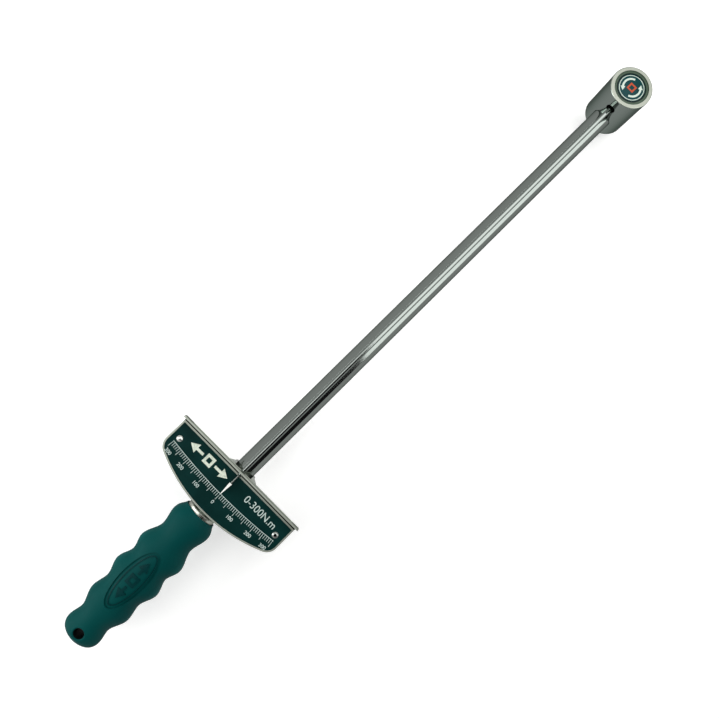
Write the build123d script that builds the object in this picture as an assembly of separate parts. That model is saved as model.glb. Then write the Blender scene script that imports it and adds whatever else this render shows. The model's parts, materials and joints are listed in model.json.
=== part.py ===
from build123d import *
import math
import os

# Beam torque wrench with a half-inch square drive, in millimetres.
# +Z points up through the badge and the handle runs towards -X.
# The origin is the centre of the square drive's end face.
# Everything behind the head hangs on one chain of sizes: head, pointer, scale, collar, grip.

# Square drive
drive_size = 12.7
drive_length = 15.0
drive_corner_radius = 1.3
drive_end_chamfer = 0.8

# Head barrel
head_diameter = 28.2
head_height = 41.4
head_base_chamfer = 3.2
head_top_round = 0.7
beam_above_base = 16.2

# Badge let into the top of the head
badge_diameter = 23.1
badge_thickness = 1.1
badge_crown = 0.4
badge_set_below_rim = 0.2

# Ball that holds a socket on the square, and its spring
ball_diameter = 4.0
ball_lip_thickness = 0.25
ball_lip_bite = 0.15
ball_pocket_depth = 8.0
ball_from_end = 7.5
ball_side_clearance = 0.08
ball_lip_clearance = 0.03
spring_wire = 0.45
spring_turns = 4
spring_side_clearance = 0.1

# Beam and the dowel that locks it in the head
beam_diameter = 13.2
beam_socket_depth = 22.0
beam_end_chamfer = 0.8
beam_end_in_grip = 82.0
dowel_diameter = 5.0
dowel_ahead_of_axis = 1.0
dowel_below_beam = 3.0
dowel_chamfer = 0.4

# Pointer rod, its root pin and its tip
pointer_root_above_beam = 15.1
pointer_tip_above_beam = 10.2
pointer_rod_diameter = 3.2
rod_shoulder_chamfer = 0.8
pointer_reach = 356.6
pointer_root_inset = 6.1
root_hole_clearance = 1.6
root_pin_diameter = 1.5
root_pin_clearance = 0.05
root_pin_in_beam = 2.0
neck_diameter = 1.1
neck_in_tip = 3.0
tip_length = 8.5
tip_base_width = 1.9
tip_point_width = 0.35

# Scale plate, stamped from sheet with an upturned slotted flange
full_scale_travel = 42.2
plate_thickness = 1.0
plate_width = 94.2
plate_depth = 33.8
plate_arc_radius = 107.5
plate_corner_radius = 8.0
plate_edge_round = 0.3
flange_ahead_of_tip = 18.2
flange_overhang = 0.8
flange_height = 9.8
flange_bend_radius = 0.6
flange_corner_radius = 1.2
slot_corner_radius = 1.2
slot_margin = 0.4
slot_head_room = 1.4
rod_past_flange = 3.2

# Printed dial face and its two rivets
face_thickness = 0.4
face_border = 1.2
face_behind_bend = 2.4
rivet_from_end = 6.2
rivet_ahead_of_tip = 5.3
rivet_head_diameter = 3.9
rivet_head_height = 0.8
rivet_shank_diameter = 2.4
rivet_eye_diameter = 1.7
rivet_tail_diameter = 3.5
rivet_tail_height = 0.8

# Saddle strap that ties the plate to the beam
strap_thickness = 1.5
strap_width = 26.0
strap_ahead_of_flange = 1.6
strap_foot = 9.0
strap_corner_cut = 5.2
strap_bend_radius = 1.0
cross_pin_diameter = 4.0
cross_pin_stand_out = 0.8
cross_pin_chamfer = 0.4
saddle_rivet_diameter = 2.4
saddle_rivet_head_diameter = 4.2
saddle_rivet_head_height = 0.7
saddle_rivet_sink = 0.6
saddle_rivet_spacing = 15.0

# Collar between the plate and the grip
collar_behind_plate = 0.7
collar_showing = 2.0
collar_diameter = 19.8
collar_length = 16.0
collar_chamfer = 0.4

# Moulded grip: distance behind the mouth, half width and half height of each section
grip_length = 101.4
grip_sections = [
    (0.0, 10.9, 10.8),
    (3.6, 12.9, 12.0),
    (9.3, 14.0, 12.8),
    (20.3, 12.1, 12.7),
    (33.0, 16.2, 13.4),
    (41.4, 13.7, 13.6),
    (51.3, 16.6, 13.7),
    (61.8, 13.3, 13.4),
    (73.5, 14.8, 12.8),
    (84.4, 10.9, 11.8),
    (94.4, 12.2, 11.2),
]
tail_angles = (25, 45, 60, 72, 81)
mouth_chamfer = 0.8
hang_hole_diameter = 6.3
hang_hole_from_end = 8.1
hang_hole_round = 0.8
panel_length = 41.5
panel_width = 16.0
panel_behind_mouth = 51.1
panel_depth = 0.9

# Fits
press_clearance = 0.02
rivet_clearance = 0.04

# How far a cutter runs past what it cuts, and how near two places count as one
overshoot = 1.0
same_place = 0.01

# Places worked out from the sizes above
head_radius = head_diameter / 2
beam_radius = beam_diameter / 2
rod_radius = pointer_rod_diameter / 2
ball_radius = ball_diameter / 2
base_z = drive_length
top_z = base_z + head_height
badge_floor_z = top_z - badge_set_below_rim - badge_thickness
beam_z = base_z + beam_above_base
root_z = beam_z + pointer_root_above_beam
tip_z = beam_z + pointer_tip_above_beam
beam_front_x = beam_socket_depth - head_radius
root_x = -head_radius + pointer_root_inset
tip_x = root_x - pointer_reach
swing_angle = math.degrees(math.asin(full_scale_travel / pointer_reach))
lean_angle = math.degrees(math.atan((root_z - tip_z) / pointer_reach))
flange_x = tip_x + flange_ahead_of_tip
apex_x = flange_x - plate_depth
plate_low_z = beam_z + beam_radius
plate_top_z = plate_low_z + plate_thickness
face_top_z = plate_top_z + face_thickness
flat_edge_x = flange_x - plate_thickness - flange_bend_radius
flange_width = plate_width + 2 * flange_overhang
collar_x = apex_x - collar_behind_plate
mouth_x = collar_x - collar_showing
grip_end_x = mouth_x - grip_length
beam_tail_x = mouth_x - beam_end_in_grip
rivet_x = tip_x + rivet_ahead_of_tip
rivet_y = plate_width / 2 - rivet_from_end


def cylinder_x(radius, x_low, x_high, z=0.0):
    """Round bar along X between two places."""
    length = x_high - x_low
    return Pos((x_low + x_high) / 2, 0, z) * Rot(0, 90, 0) * Cylinder(radius, length)


def cylinder_z(radius, z_low, z_high, x=0.0, y=0.0):
    """Upright round bar between two heights."""
    return Pos(x, y, (z_low + z_high) / 2) * Cylinder(radius, z_high - z_low)


def end_edges(solid, axis, last=True):
    """Edges round the first or last face of a solid along an axis."""
    faces = solid.faces().sort_by(axis)
    return faces[-1 if last else 0].edges()


def ball_centre_x():
    """The staked lip stops the ball this far inside the face of the square."""
    lip_radius = ball_radius - ball_lip_bite
    reach = math.sqrt(ball_radius**2 - lip_radius**2)
    return drive_size / 2 - ball_lip_thickness - reach - ball_lip_clearance


def make_drive():
    """Square with rounded corners, chamfered at its free end."""
    square = Pos(0, 0, drive_length / 2) * Box(drive_size, drive_size, drive_length)
    square = fillet(square.edges().filter_by(Axis.Z), drive_corner_radius)
    return chamfer(end_edges(square, Axis.Z, last=False), drive_end_chamfer)


def make_head():
    """Forged head: barrel and square in one, bored for beam, pointer, pins and ball."""
    barrel = cylinder_z(head_radius, base_z, top_z)
    barrel = chamfer(end_edges(barrel, Axis.Z, last=False), head_base_chamfer)
    barrel = fillet(end_edges(barrel, Axis.Z), head_top_round)
    head = barrel + make_drive()
    head -= cylinder_z(badge_diameter / 2, badge_floor_z, top_z + overshoot)
    outside_x = -head_radius - overshoot
    head -= cylinder_x(beam_radius + press_clearance, outside_x, beam_front_x + press_clearance, beam_z)
    hole_end_x = root_x + rod_radius + root_hole_clearance / 2
    head -= cylinder_x(rod_radius + root_hole_clearance, outside_x, hole_end_x, root_z)
    dowel_hole = dowel_diameter / 2 + press_clearance
    dowel_floor_z = dowel_low_z() - press_clearance
    head -= cylinder_z(dowel_hole, dowel_floor_z, badge_floor_z, dowel_ahead_of_axis)
    root_pin_hole = root_pin_diameter / 2 + press_clearance
    head -= cylinder_z(root_pin_hole, beam_z, badge_floor_z, root_x)
    lip_radius = ball_radius - ball_lip_bite
    pocket_radius = ball_radius + ball_side_clearance
    face_x = drive_size / 2
    pocket_mouth_x = face_x - ball_lip_thickness
    head -= cylinder_x(lip_radius, 0, face_x + overshoot, ball_from_end)
    head -= cylinder_x(pocket_radius, face_x - ball_pocket_depth, pocket_mouth_x, ball_from_end)
    return head


def make_badge():
    """Slightly domed disc that closes the recess in the head's top."""
    radius = badge_diameter / 2 - press_clearance
    dome_radius = (radius**2 + badge_crown**2) / (2 * badge_crown)
    high_z = badge_floor_z + badge_thickness
    disc = cylinder_z(radius, badge_floor_z, high_z)
    return disc & Pos(0, 0, high_z - dome_radius) * Sphere(dome_radius)


def make_ball():
    """Steel ball resting against its staked lip."""
    return Pos(ball_centre_x(), 0, ball_from_end) * Sphere(ball_radius)


def make_ball_spring():
    """Coil spring between the floor of the pocket and the back of the ball."""
    wire = spring_wire / 2
    coil_radius = ball_radius + ball_side_clearance - spring_side_clearance - wire
    seat = math.sqrt((ball_radius + wire) ** 2 - coil_radius**2)
    floor_x = drive_size / 2 - ball_pocket_depth
    low_x = floor_x + wire + press_clearance
    high_x = ball_centre_x() - seat - press_clearance
    height = high_x - low_x
    line = Helix(pitch=height / spring_turns, height=height, radius=coil_radius)
    ring = Plane(origin=line @ 0, z_dir=line % 0) * Circle(wire)
    coil = sweep(ring, path=line, is_frenet=True)
    return Pos(low_x, 0, ball_from_end) * Rot(0, 90, 0) * coil


def dowel_low_z():
    """The beam dowel ends a little below the beam."""
    return beam_z - beam_radius - dowel_below_beam


def make_beam():
    """Round spring-steel bar, drilled for the dowel, the root pin and the saddle's pin."""
    beam = cylinder_x(beam_radius, beam_tail_x, beam_front_x, beam_z)
    ends = end_edges(beam, Axis.X) + end_edges(beam, Axis.X, last=False)
    beam = chamfer(ends, beam_end_chamfer)
    reach = beam_radius + overshoot
    dowel_hole = dowel_diameter / 2 + press_clearance
    beam -= cylinder_z(dowel_hole, beam_z - reach, beam_z + reach, dowel_ahead_of_axis)
    pin_floor_z = beam_z + beam_radius - root_pin_in_beam
    beam -= cylinder_z(root_pin_diameter / 2 + press_clearance, pin_floor_z, beam_z + reach, root_x)
    beam -= cross_pin_bar(cross_pin_diameter / 2 + press_clearance, reach)
    return beam


def make_beam_dowel():
    """Dowel driven down through head and beam, covered by the badge."""
    high_z = badge_floor_z - press_clearance
    dowel = cylinder_z(dowel_diameter / 2, dowel_low_z(), high_z, dowel_ahead_of_axis)
    ends = end_edges(dowel, Axis.Z) + end_edges(dowel, Axis.Z, last=False)
    return chamfer(ends, dowel_chamfer)


def make_root_pin():
    """Pin through the pointer's root, from the badge recess down into the beam."""
    low_z = beam_z + beam_radius - root_pin_in_beam + press_clearance
    return cylinder_z(root_pin_diameter / 2, low_z, badge_floor_z - press_clearance, root_x)


def along_pointer(x):
    """Place x counted along the pointer from its root, before the pointer is leaned."""
    return (x - root_x) / math.cos(math.radians(lean_angle))


def pointer_z(x):
    """Height of the leaning rod's axis above a place x."""
    return root_z + (x - root_x) * math.tan(math.radians(lean_angle))


def lean(pointer):
    """Put a pointer part that starts level at the origin on the root, dipping to the scale."""
    return Pos(root_x, 0, root_z) * Rot(0, -lean_angle, 0) * pointer


def make_pointer_rod():
    """Straight rod with a round root, turned down to a thin neck behind the flange."""
    shoulder_x = along_pointer(flange_x - rod_past_flange)
    neck_end_x = along_pointer(tip_x + tip_length - neck_in_tip)
    rod = cylinder_x(rod_radius, shoulder_x, 0)
    rod = chamfer(end_edges(rod, Axis.X, last=False), rod_shoulder_chamfer)
    rod += Sphere(rod_radius)
    rod += cylinder_x(neck_diameter / 2, neck_end_x, shoulder_x + rod_radius)
    reach = 2 * rod_radius
    pin_hole = root_pin_diameter / 2 + root_pin_clearance
    return lean(rod) - cylinder_z(pin_hole, root_z - reach, root_z + reach, root_x)


def make_pointer_tip():
    """Four-sided spear point, socketed on the neck."""
    base_x = along_pointer(tip_x + tip_length)
    base = Plane(origin=(base_x, 0, 0), z_dir=(-1, 0, 0))
    point = Plane(origin=(along_pointer(tip_x), 0, 0), z_dir=(-1, 0, 0))
    wide = base * Rectangle(tip_base_width, tip_base_width)
    narrow = point * Rectangle(tip_point_width, tip_point_width)
    socket_end_x = base_x - neck_in_tip - press_clearance
    socket = cylinder_x(neck_diameter / 2 + press_clearance, socket_end_x, base_x + overshoot)
    return lean(loft([wide, narrow]) - socket)


def dial_outline(inset, straight_x):
    """D-shape of plate and face: straight ends, rounded corners and one long arc."""
    half = plate_width / 2 - inset
    radius = plate_arc_radius - inset
    centre_x = apex_x + plate_arc_radius
    corner_x = centre_x - math.sqrt(radius**2 - half**2)
    sides = Polyline((corner_x, half), (straight_x, half), (straight_x, -half), (corner_x, -half))
    bow = ThreePointArc((corner_x, -half), (centre_x - radius, 0), (corner_x, half))
    face = make_face(sides + bow)
    corners = face.vertices().group_by(Axis.X)[0]
    return fillet(corners, plate_corner_radius - inset)


def make_scale_plate():
    """Stamped plate: flat tray, tight bend and upturned flange with the pointer's slot."""
    flat = extrude(dial_outline(0, flat_edge_x), plate_thickness)
    flat = Pos(0, 0, plate_low_z) * flat
    rim = end_edges(flat, Axis.Z).filter_by(Axis.Y, reverse=True)
    flat = fillet(rim, plate_edge_round)
    bend_z = plate_top_z + flange_bend_radius
    outer = flange_bend_radius + plate_thickness
    section = Plane.XZ * Pos(flat_edge_x, bend_z) * (Circle(outer) - Circle(flange_bend_radius))
    quarter = Plane.XZ * Pos(flat_edge_x + outer / 2, bend_z - outer / 2) * Rectangle(outer, outer)
    bend = extrude(section & quarter, flange_width / 2, both=True)
    wall_top_z = plate_low_z + flange_height
    wall_low_z = bend_z
    wall_z = (wall_top_z + wall_low_z) / 2
    wall_x = flange_x - plate_thickness / 2
    wall = Pos(wall_x, 0, wall_z) * Box(plate_thickness, flange_width, wall_top_z - wall_low_z)
    corners = wall.edges().filter_by(Axis.X).group_by(Axis.Z)[-1]
    wall = fillet(corners, flange_corner_radius)
    plate = flat + bend + wall - slot_cutter()
    for x, y in saddle_rivet_places():
        plate -= saddle_rivet_hole(x, y)
    for side in (1, -1):
        hole = rivet_shank_diameter / 2 + rivet_clearance
        plate -= cylinder_z(hole, plate_low_z - overshoot, face_top_z, rivet_x, side * rivet_y)
    return plate


def slot_cutter():
    """Slot in the flange, as long as the rod's swing and a margin at each end."""
    arm = root_x - flange_x + plate_thickness
    sweep_y = arm * math.tan(math.radians(swing_angle))
    half_length = sweep_y + rod_radius / math.cos(math.radians(swing_angle)) + slot_margin
    low_z = pointer_z(flange_x) - rod_radius - slot_margin
    high_z = pointer_z(flange_x) + rod_radius + slot_head_room
    shape = RectangleRounded(2 * half_length, high_z - low_z, slot_corner_radius)
    plane = Plane(origin=(flange_x, 0, (low_z + high_z) / 2), x_dir=(0, 1, 0), z_dir=(1, 0, 0))
    return extrude(plane * shape, 2 * plate_thickness, both=True)


def make_dial_face():
    """Thin printed sheet inside the plate's bright border."""
    outline = dial_outline(face_border, flat_edge_x - face_behind_bend)
    face = Pos(0, 0, plate_top_z) * extrude(outline, face_thickness)
    for side in (1, -1):
        hole = rivet_shank_diameter / 2 + rivet_clearance
        face -= cylinder_z(hole, plate_low_z, face_top_z + overshoot, rivet_x, side * rivet_y)
    return face


def rivet_solid(y):
    """Domed head on the face, shank through both sheets and a set tail below."""
    radius = rivet_head_diameter / 2
    dome_radius = (radius**2 + rivet_head_height**2) / (2 * rivet_head_height)
    dome = Pos(rivet_x, y, face_top_z + rivet_head_height - dome_radius) * Sphere(dome_radius)
    head = dome & cylinder_z(radius, face_top_z, face_top_z + rivet_head_height, rivet_x, y)
    tail_z = plate_low_z - rivet_tail_height
    shank = cylinder_z(rivet_shank_diameter / 2, tail_z, face_top_z, rivet_x, y)
    tail = cylinder_z(rivet_tail_diameter / 2, tail_z, plate_low_z, rivet_x, y)
    return head + shank + tail


def make_solid_rivet():
    """Rivet at the +Y end of the face."""
    return rivet_solid(rivet_y)


def make_tubular_rivet():
    """Rivet at the -Y end of the face, with its eye open right through."""
    y = -rivet_y
    low_z = plate_low_z - rivet_tail_height - overshoot
    eye = cylinder_z(rivet_eye_diameter / 2, low_z, face_top_z + rivet_head_height, rivet_x, y)
    return rivet_solid(y) - eye


def saddle_x():
    """Middle of the strap along the beam."""
    return flange_x + strap_ahead_of_flange - strap_width / 2


def saddle_rivet_places():
    """Four places, two through each foot."""
    foot_y = beam_radius + strap_thickness + strap_foot / 2
    spots = []
    for x_side in (1, -1):
        for y_side in (1, -1):
            spots.append((saddle_x() + x_side * saddle_rivet_spacing / 2, y_side * foot_y))
    return spots


def saddle_rivet_hole(x, y):
    """Hole with the same countersink as the rivet that fills it."""
    radius = saddle_rivet_diameter / 2 + rivet_clearance
    shank = cylinder_z(radius, plate_low_z - overshoot, plate_top_z, x, y)
    return shank + countersink(x, y, rivet_clearance)


def countersink(x, y, gap):
    """Cone that widens up to the top of the plate."""
    narrow = saddle_rivet_diameter / 2 + gap
    wide = saddle_rivet_head_diameter / 2 + gap
    return Pos(x, y, plate_top_z - saddle_rivet_sink / 2) * Cone(narrow, wide, saddle_rivet_sink)


def strap_blank(outer):
    """Upright block with the strap's outline from above: its feet taper at the corners."""
    end_x = strap_width / 2
    short_x = end_x - strap_corner_cut
    toe_y = outer + strap_foot
    front = [(end_x, -outer), (end_x, outer), (short_x, toe_y)]
    back = [(-short_x, toe_y), (-end_x, outer), (-end_x, -outer)]
    toes = [(-short_x, -toe_y), (short_x, -toe_y)]
    outline = make_face(Polyline(*front, *back, *toes, close=True))
    return extrude(Pos(saddle_x(), 0, beam_z) * outline, outer + overshoot, both=True)


def make_saddle_strap():
    """Strap bent round the underside of the beam, with two feet under the plate."""
    inner = beam_radius + press_clearance
    outer = beam_radius + strap_thickness
    ring = Circle(outer) - Circle(inner)
    lower = Pos(0, -outer / 2) * Rectangle(2 * outer, outer)
    section = ring & lower
    for side in (1, -1):
        leg_y = side * (inner + outer) / 2
        section += Pos(leg_y, beam_radius / 2) * Rectangle(outer - inner, beam_radius)
        foot_y = side * (inner + outer + strap_foot) / 2
        foot = Rectangle(outer - inner + strap_foot, strap_thickness)
        section += Pos(foot_y, beam_radius - strap_thickness / 2) * foot
    bends = []
    for vertex in section.vertices():
        beside_leg = abs(abs(vertex.X) - outer) < same_place
        if beside_leg and vertex.Y > same_place:
            bends.append(vertex)
    section = fillet(bends, strap_bend_radius)
    plane = Plane(origin=(saddle_x(), 0, beam_z), x_dir=(0, 1, 0), z_dir=(1, 0, 0))
    strap = extrude(plane * section, strap_width / 2, both=True) & strap_blank(outer)
    for x, y in saddle_rivet_places():
        strap -= cylinder_z(saddle_rivet_diameter / 2 + rivet_clearance, beam_z, plate_low_z, x, y)
    return strap - cross_pin_bar(cross_pin_diameter / 2 + press_clearance, outer + overshoot)


def cross_pin_bar(radius, reach):
    """Bar across the beam at the middle of the strap."""
    return Pos(saddle_x(), 0, beam_z) * Rot(90, 0, 0) * Cylinder(radius, 2 * reach)


def make_saddle_pin():
    """Pin through both legs of the strap and the beam."""
    reach = beam_radius + strap_thickness + cross_pin_stand_out
    pin = cross_pin_bar(cross_pin_diameter / 2, reach)
    ends = end_edges(pin, Axis.Y) + end_edges(pin, Axis.Y, last=False)
    return chamfer(ends, cross_pin_chamfer)


def make_saddle_rivets():
    """Four rivets, flush under the face and domed below the feet."""
    rivets = []
    foot_low_z = plate_low_z - strap_thickness
    head_height = saddle_rivet_head_height
    radius = saddle_rivet_head_diameter / 2
    dome_radius = (radius**2 + head_height**2) / (2 * head_height)
    for x, y in saddle_rivet_places():
        dome = Pos(x, y, foot_low_z - head_height + dome_radius) * Sphere(dome_radius)
        head = dome & cylinder_z(radius, foot_low_z - head_height, foot_low_z, x, y)
        shank = cylinder_z(saddle_rivet_diameter / 2, foot_low_z, plate_top_z, x, y)
        rivets.append(head + shank + countersink(x, y, 0))
    return Compound(rivets)


def make_collar():
    """Turned collar pressed on the beam, with its bright end showing at the grip's mouth."""
    back_x = collar_x - collar_length
    collar = cylinder_x(collar_diameter / 2, back_x, collar_x, beam_z)
    collar = chamfer(end_edges(collar, Axis.X), collar_chamfer)
    bore = beam_radius + press_clearance
    return collar - cylinder_x(bore, back_x - overshoot, collar_x + overshoot, beam_z)


def grip_ring(behind, half_width, half_height):
    """Oval section of the grip, a distance behind its mouth."""
    place = Plane(origin=(mouth_x - behind, 0, beam_z), x_dir=(0, 1, 0), z_dir=(-1, 0, 0))
    return place * scale(Circle(1), by=(half_width, half_height, 1)).face()


def grip_body(depth):
    """Outer form of the grip, or the same form a given depth below its skin."""
    rings = []
    for behind, half_width, half_height in grip_sections:
        rings.append(grip_ring(behind, half_width - depth, half_height - depth))
    last_behind, last_width, last_height = grip_sections[-1]
    dome_length = (grip_length - last_behind - depth) / math.sin(math.radians(tail_angles[-1]))
    for angle in tail_angles:
        reach = dome_length * math.sin(math.radians(angle))
        share = math.cos(math.radians(angle))
        half_width = (last_width - depth) * share
        half_height = (last_height - depth) * share
        rings.append(grip_ring(last_behind + reach, half_width, half_height))
    return loft(rings)


def make_grip():
    """Moulded grip with finger grooves, a sunk oval panel on top and a hanging hole."""
    grip = grip_body(0)
    hole_x = grip_end_x + hang_hole_from_end
    through = max(half_height for _, _, half_height in grip_sections) + overshoot
    grip -= cylinder_z(hang_hole_diameter / 2, beam_z - through, beam_z + through, hole_x)
    rims = []
    for edge in grip.edges():
        middle = edge.center()
        near = math.hypot(middle.X - hole_x, middle.Y) < hang_hole_diameter
        if near and edge.geom_type != GeomType.LINE:
            rims.append(edge)
    grip = fillet(rims, hang_hole_round)
    panel = Pos(mouth_x - panel_behind_mouth, 0, beam_z) * Ellipse(panel_length / 2, panel_width / 2)
    grip -= extrude(panel, through) - grip_body(panel_depth)
    outside_x = mouth_x + overshoot
    grip -= cylinder_x(beam_radius + press_clearance, beam_tail_x - press_clearance, outside_x, beam_z)
    pocket = collar_diameter / 2 + press_clearance
    grip -= cylinder_x(pocket, collar_x - collar_length - press_clearance, outside_x, beam_z)
    mouth = Cone(pocket, pocket + mouth_chamfer, mouth_chamfer)
    return grip - Pos(mouth_x - mouth_chamfer / 2, 0, beam_z) * Rot(0, 90, 0) * mouth


parts = {
    "head": make_head(),
    "head_badge": make_badge(),
    "detent_ball": make_ball(),
    "detent_spring": make_ball_spring(),
    "beam": make_beam(),
    "beam_dowel": make_beam_dowel(),
    "pointer_rod": make_pointer_rod(),
    "pointer_tip": make_pointer_tip(),
    "pointer_root_pin": make_root_pin(),
    "scale_plate": make_scale_plate(),
    "dial_face": make_dial_face(),
    "face_rivet_solid": make_solid_rivet(),
    "face_rivet_tubular": make_tubular_rivet(),
    "saddle_strap": make_saddle_strap(),
    "saddle_pin": make_saddle_pin(),
    "saddle_rivets": make_saddle_rivets(),
    "grip_collar": make_collar(),
    "grip": make_grip(),
}

os.makedirs("parts", exist_ok=True)
for node, shape in parts.items():
    export_step(shape, f"parts/{node}.step")

print("overall length", round(head_radius - grip_end_x, 2))
print("swing either way, degrees", round(swing_angle, 3))
print("beam axis height", round(beam_z, 2), "pointer root x", round(root_x, 2))
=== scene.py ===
# %% [markdown]
# Beam torque wrench, dressed for the camera.
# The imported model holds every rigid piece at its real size, in metres. This notebook gives each
# piece its finish, adds the printing, the moulding marks and the badge's design, and sets up the
# studio. Nothing that the model holds is moved: new pieces are measured from it.

# %% Load the frame
import json
import math

import bmesh
import bpy
from mathutils import Matrix, Vector


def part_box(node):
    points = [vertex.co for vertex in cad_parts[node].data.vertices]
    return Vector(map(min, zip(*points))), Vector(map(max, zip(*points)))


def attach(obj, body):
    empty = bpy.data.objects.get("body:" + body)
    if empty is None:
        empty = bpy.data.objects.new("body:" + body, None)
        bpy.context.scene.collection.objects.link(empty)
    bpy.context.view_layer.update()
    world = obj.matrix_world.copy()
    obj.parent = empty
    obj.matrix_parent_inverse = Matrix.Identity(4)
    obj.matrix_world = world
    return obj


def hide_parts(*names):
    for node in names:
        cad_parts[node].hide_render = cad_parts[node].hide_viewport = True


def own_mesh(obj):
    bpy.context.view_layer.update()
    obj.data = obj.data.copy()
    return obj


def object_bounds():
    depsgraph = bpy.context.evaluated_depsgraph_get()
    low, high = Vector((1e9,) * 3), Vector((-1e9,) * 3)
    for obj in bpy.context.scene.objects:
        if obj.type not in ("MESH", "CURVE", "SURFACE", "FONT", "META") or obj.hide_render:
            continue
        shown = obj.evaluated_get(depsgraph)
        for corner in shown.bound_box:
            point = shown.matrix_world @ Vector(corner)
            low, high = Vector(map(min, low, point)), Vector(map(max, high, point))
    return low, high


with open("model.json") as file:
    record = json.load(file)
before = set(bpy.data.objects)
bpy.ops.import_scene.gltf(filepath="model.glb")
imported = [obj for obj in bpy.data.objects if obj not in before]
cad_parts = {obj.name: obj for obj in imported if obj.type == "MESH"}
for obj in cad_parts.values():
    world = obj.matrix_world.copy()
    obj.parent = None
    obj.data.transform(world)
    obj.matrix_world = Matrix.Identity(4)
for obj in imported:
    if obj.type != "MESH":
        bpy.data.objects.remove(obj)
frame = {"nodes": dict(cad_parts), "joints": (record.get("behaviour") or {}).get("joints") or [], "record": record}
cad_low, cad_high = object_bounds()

MM = 0.001
print("CAD box in mm", [round(v / MM, 1) for v in cad_high - cad_low])

# %% [markdown]
# Every place below is read from the model, so the dressing follows when the model changes.
# The pointer turns about its root, and the printed scale is an arc round that same point.


# %% Measure the frame
def named(rows, name):
    """The row of a list that has this name."""
    return next(row for row in rows if row["name"] == name)


beam_low, beam_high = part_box("beam")
_, head_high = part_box("head")
_, badge_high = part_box("head_badge")
plate_low, plate_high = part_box("scale_plate")
face_low, face_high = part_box("dial_face")
tip_low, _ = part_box("pointer_tip")
grip_low, grip_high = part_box("grip")
swing = named(frame["joints"], "pointer_swing")

beam_z = (beam_low.z + beam_high.z) / 2
root = Vector(swing["pos_m"])
full_scale = math.radians(swing["range_deg"][1])
print("beam axis", round(beam_z / MM, 2), "root", [round(v / MM, 2) for v in root])

# %% [markdown]
# Colours are written as sRGB hex, the way a paint chart gives them, and Blender works in linear
# light, so one function converts them. Patterns are sized in millimetres: a texture's scale is the
# number of times it repeats in a metre, which is a thousand over the size. A node is added by one
# small function, which takes numbers and colours as constants and nodes or sockets as links. Some
# sockets of a Mix node share a name, so they are reached by their place in its list: its share of
# the second input, its two numbers, its two tones and the tone that comes out.

# %% Colour, scale and node helpers
SHARE = 0
NUMBER_A, NUMBER_B = 2, 3
TONE_A, TONE_B = 6, 7
TONE = 2


def colour(code):
    """Linear RGBA of an sRGB hex colour."""
    channels = []
    for start in (0, 2, 4):
        value = int(code[start:start + 2], 16) / 255
        channels.append(value / 12.92 if value <= 0.04045 else ((value + 0.055) / 1.055) ** 2.4)
    return (*channels, 1.0)


def per_metre(size_mm):
    """Texture scale of a pattern whose features are this large."""
    return 1000 / size_mm


def fill(tree, node, inputs):
    """Sets inputs of a node: a node or socket is linked, anything else is a constant."""
    for name, value in inputs.items():
        if isinstance(value, bpy.types.Node):
            value = value.outputs[0]
        if isinstance(value, bpy.types.NodeSocket):
            tree.links.new(value, node.inputs[name])
        else:
            node.inputs[name].default_value = value


def add_node(tree, kind, inputs=None, **settings):
    """Adds a node with its settings, constants and links."""
    node = tree.nodes.new(kind)
    for name, value in settings.items():
        setattr(node, name, value)
    fill(tree, node, inputs or {})
    return node


def new_material(name, **values):
    """A material with one Principled shader, and the place on the object for its patterns."""
    material = bpy.data.materials.new(name)
    material.use_nodes = True
    tree = material.node_tree
    shader = tree.nodes["Principled BSDF"]
    fill(tree, shader, {key.replace("_", " "): value for key, value in values.items()})
    place = add_node(tree, "ShaderNodeTexCoord").outputs["Object"]
    return material, tree, shader, place


def dress(material, *nodes):
    """Gives CAD nodes their finish."""
    for node in nodes:
        slots = frame["nodes"][node].data.materials
        slots.clear()
        slots.append(material)
    print(material.name, "on", *nodes)


# %% [markdown]
# Chromium plate on forged or drawn steel. The eye reads it by what it mirrors, so its colour is a
# plain grey with a faint green cast, and its roughness is low. A broad, very shallow unevenness
# bends the mirrored lines as polishing by hand leaves them, and fine lines along the bar are the
# drawing marks that thin plating doesn't hide. A Mapping node that shrinks X stretches a pattern
# along the bar. A noise's values crowd round its middle, so a Map Range picks that part.

# %% Polished chrome
CHROME_EDGE = "8A908C"
BAR_CHROME = "9AA19C"
COLLAR_CHROME = "D0D4C8"
WAVE_STRETCH = (0.25, 1, 1)
LINE_STRETCH = (0.02, 1, 1)
HAZE_RISE = 1.7


def polished_chrome(name, code, roughness, wave_mm, wave_depth_mm, line_mm, line_depth_mm):
    """Polished plating with hand-polished waves and fine lines along X."""
    material, tree, shader, place = new_material(
        name, Metallic=1.0, Base_Color=colour(code), Specular_Tint=colour(CHROME_EDGE))
    along = add_node(tree, "ShaderNodeMapping", {"Vector": place, "Scale": WAVE_STRETCH})
    wave = add_node(tree, "ShaderNodeTexNoise", {
        "Vector": along, "Scale": per_metre(wave_mm), "Detail": 1.0})
    drawn = add_node(tree, "ShaderNodeMapping", {"Vector": place, "Scale": LINE_STRETCH})
    lines = add_node(tree, "ShaderNodeTexNoise", {
        "Vector": drawn, "Scale": per_metre(line_mm), "Detail": 2.0})
    broad = add_node(tree, "ShaderNodeBump", {"Height": wave, "Distance": wave_depth_mm * MM})
    fine = add_node(tree, "ShaderNodeBump", {
        "Height": lines, "Distance": line_depth_mm * MM, "Normal": broad})
    haze = add_node(tree, "ShaderNodeMapRange", {
        "Value": lines, "From Min": 0.35, "From Max": 0.7,
        "To Min": roughness, "To Max": roughness * HAZE_RISE})
    fill(tree, shader, {"Normal": fine, "Roughness": haze})
    return material, tree, shader, place


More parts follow.
